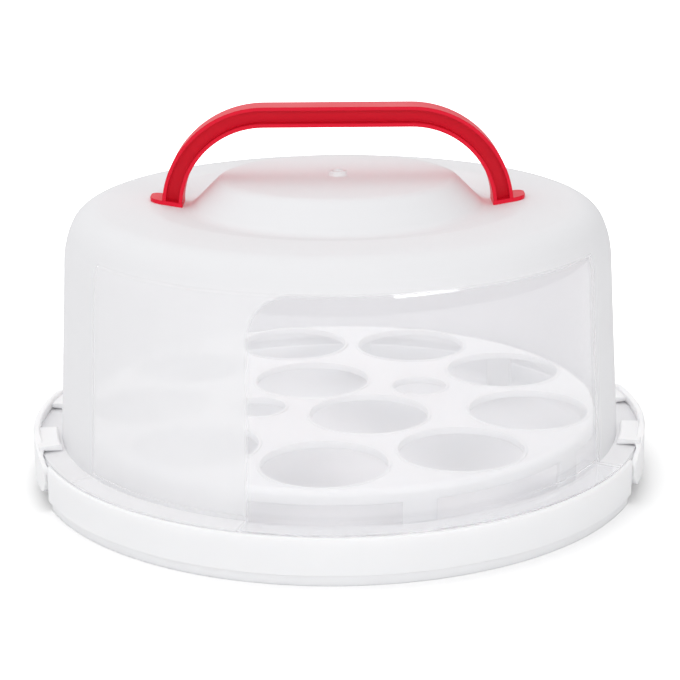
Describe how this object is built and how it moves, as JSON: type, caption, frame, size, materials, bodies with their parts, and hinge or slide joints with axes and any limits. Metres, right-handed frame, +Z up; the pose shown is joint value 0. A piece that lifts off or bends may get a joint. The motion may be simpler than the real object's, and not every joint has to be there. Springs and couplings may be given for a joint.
{
  "type": "cake carrier",
  "caption": "Round cake carrier: shallow tray with two swinging side latches, frosted domed lid with a clear window and arched handle, loose cupcake insert.",
  "frame": {"origin": "on the surface that the carrier stands on, at the centre of the tray", "axes": "+Z up, X through the two latches and along the handle, -Y to the front, where the window is"},
  "size_m": [0.3078, 0.306, 0.1844],
  "materials": {
    "white_plastic": "moulded polypropylene, satin",
    "latch_plastic": "moulded polypropylene, satin",
    "frosted_plastic": "moulded translucent polypropylene, frosted, with a polished clear window",
    "red_plastic": "moulded polypropylene, satin",
    "insert_plastic": "moulded polypropylene, satin"
  },
  "bodies": {
    "tray": {"base_tray": "white_plastic"},
    "latch_right": {"latch_right": "latch_plastic"},
    "latch_left": {"latch_left": "latch_plastic"},
    "lid": {"lid": "frosted_plastic", "handle": "red_plastic"},
    "insert": {"cupcake_insert": "insert_plastic"}
  },
  "joints": [
    {"name": "latch_right_hinge", "type": "hinge", "parent": "tray", "child": "latch_right", "pos_m": [0.146, 0, 0.01], "axis": [0, 1, 0], "range_deg": [0, 90]},
    {"name": "latch_left_hinge", "type": "hinge", "parent": "tray", "child": "latch_left", "pos_m": [-0.146, 0, 0.01], "axis": [0, -1, 0], "range_deg": [0, 90]},
    {"name": "lid_lift", "type": "slide", "parent": "tray", "child": "lid", "axis": [0, 0, 1], "range_m": [0, 0.16]},
    {"name": "insert_lift", "type": "slide", "parent": "tray", "child": "insert", "axis": [0, 0, 1], "range_m": [0, 0.06]}
  ]
}
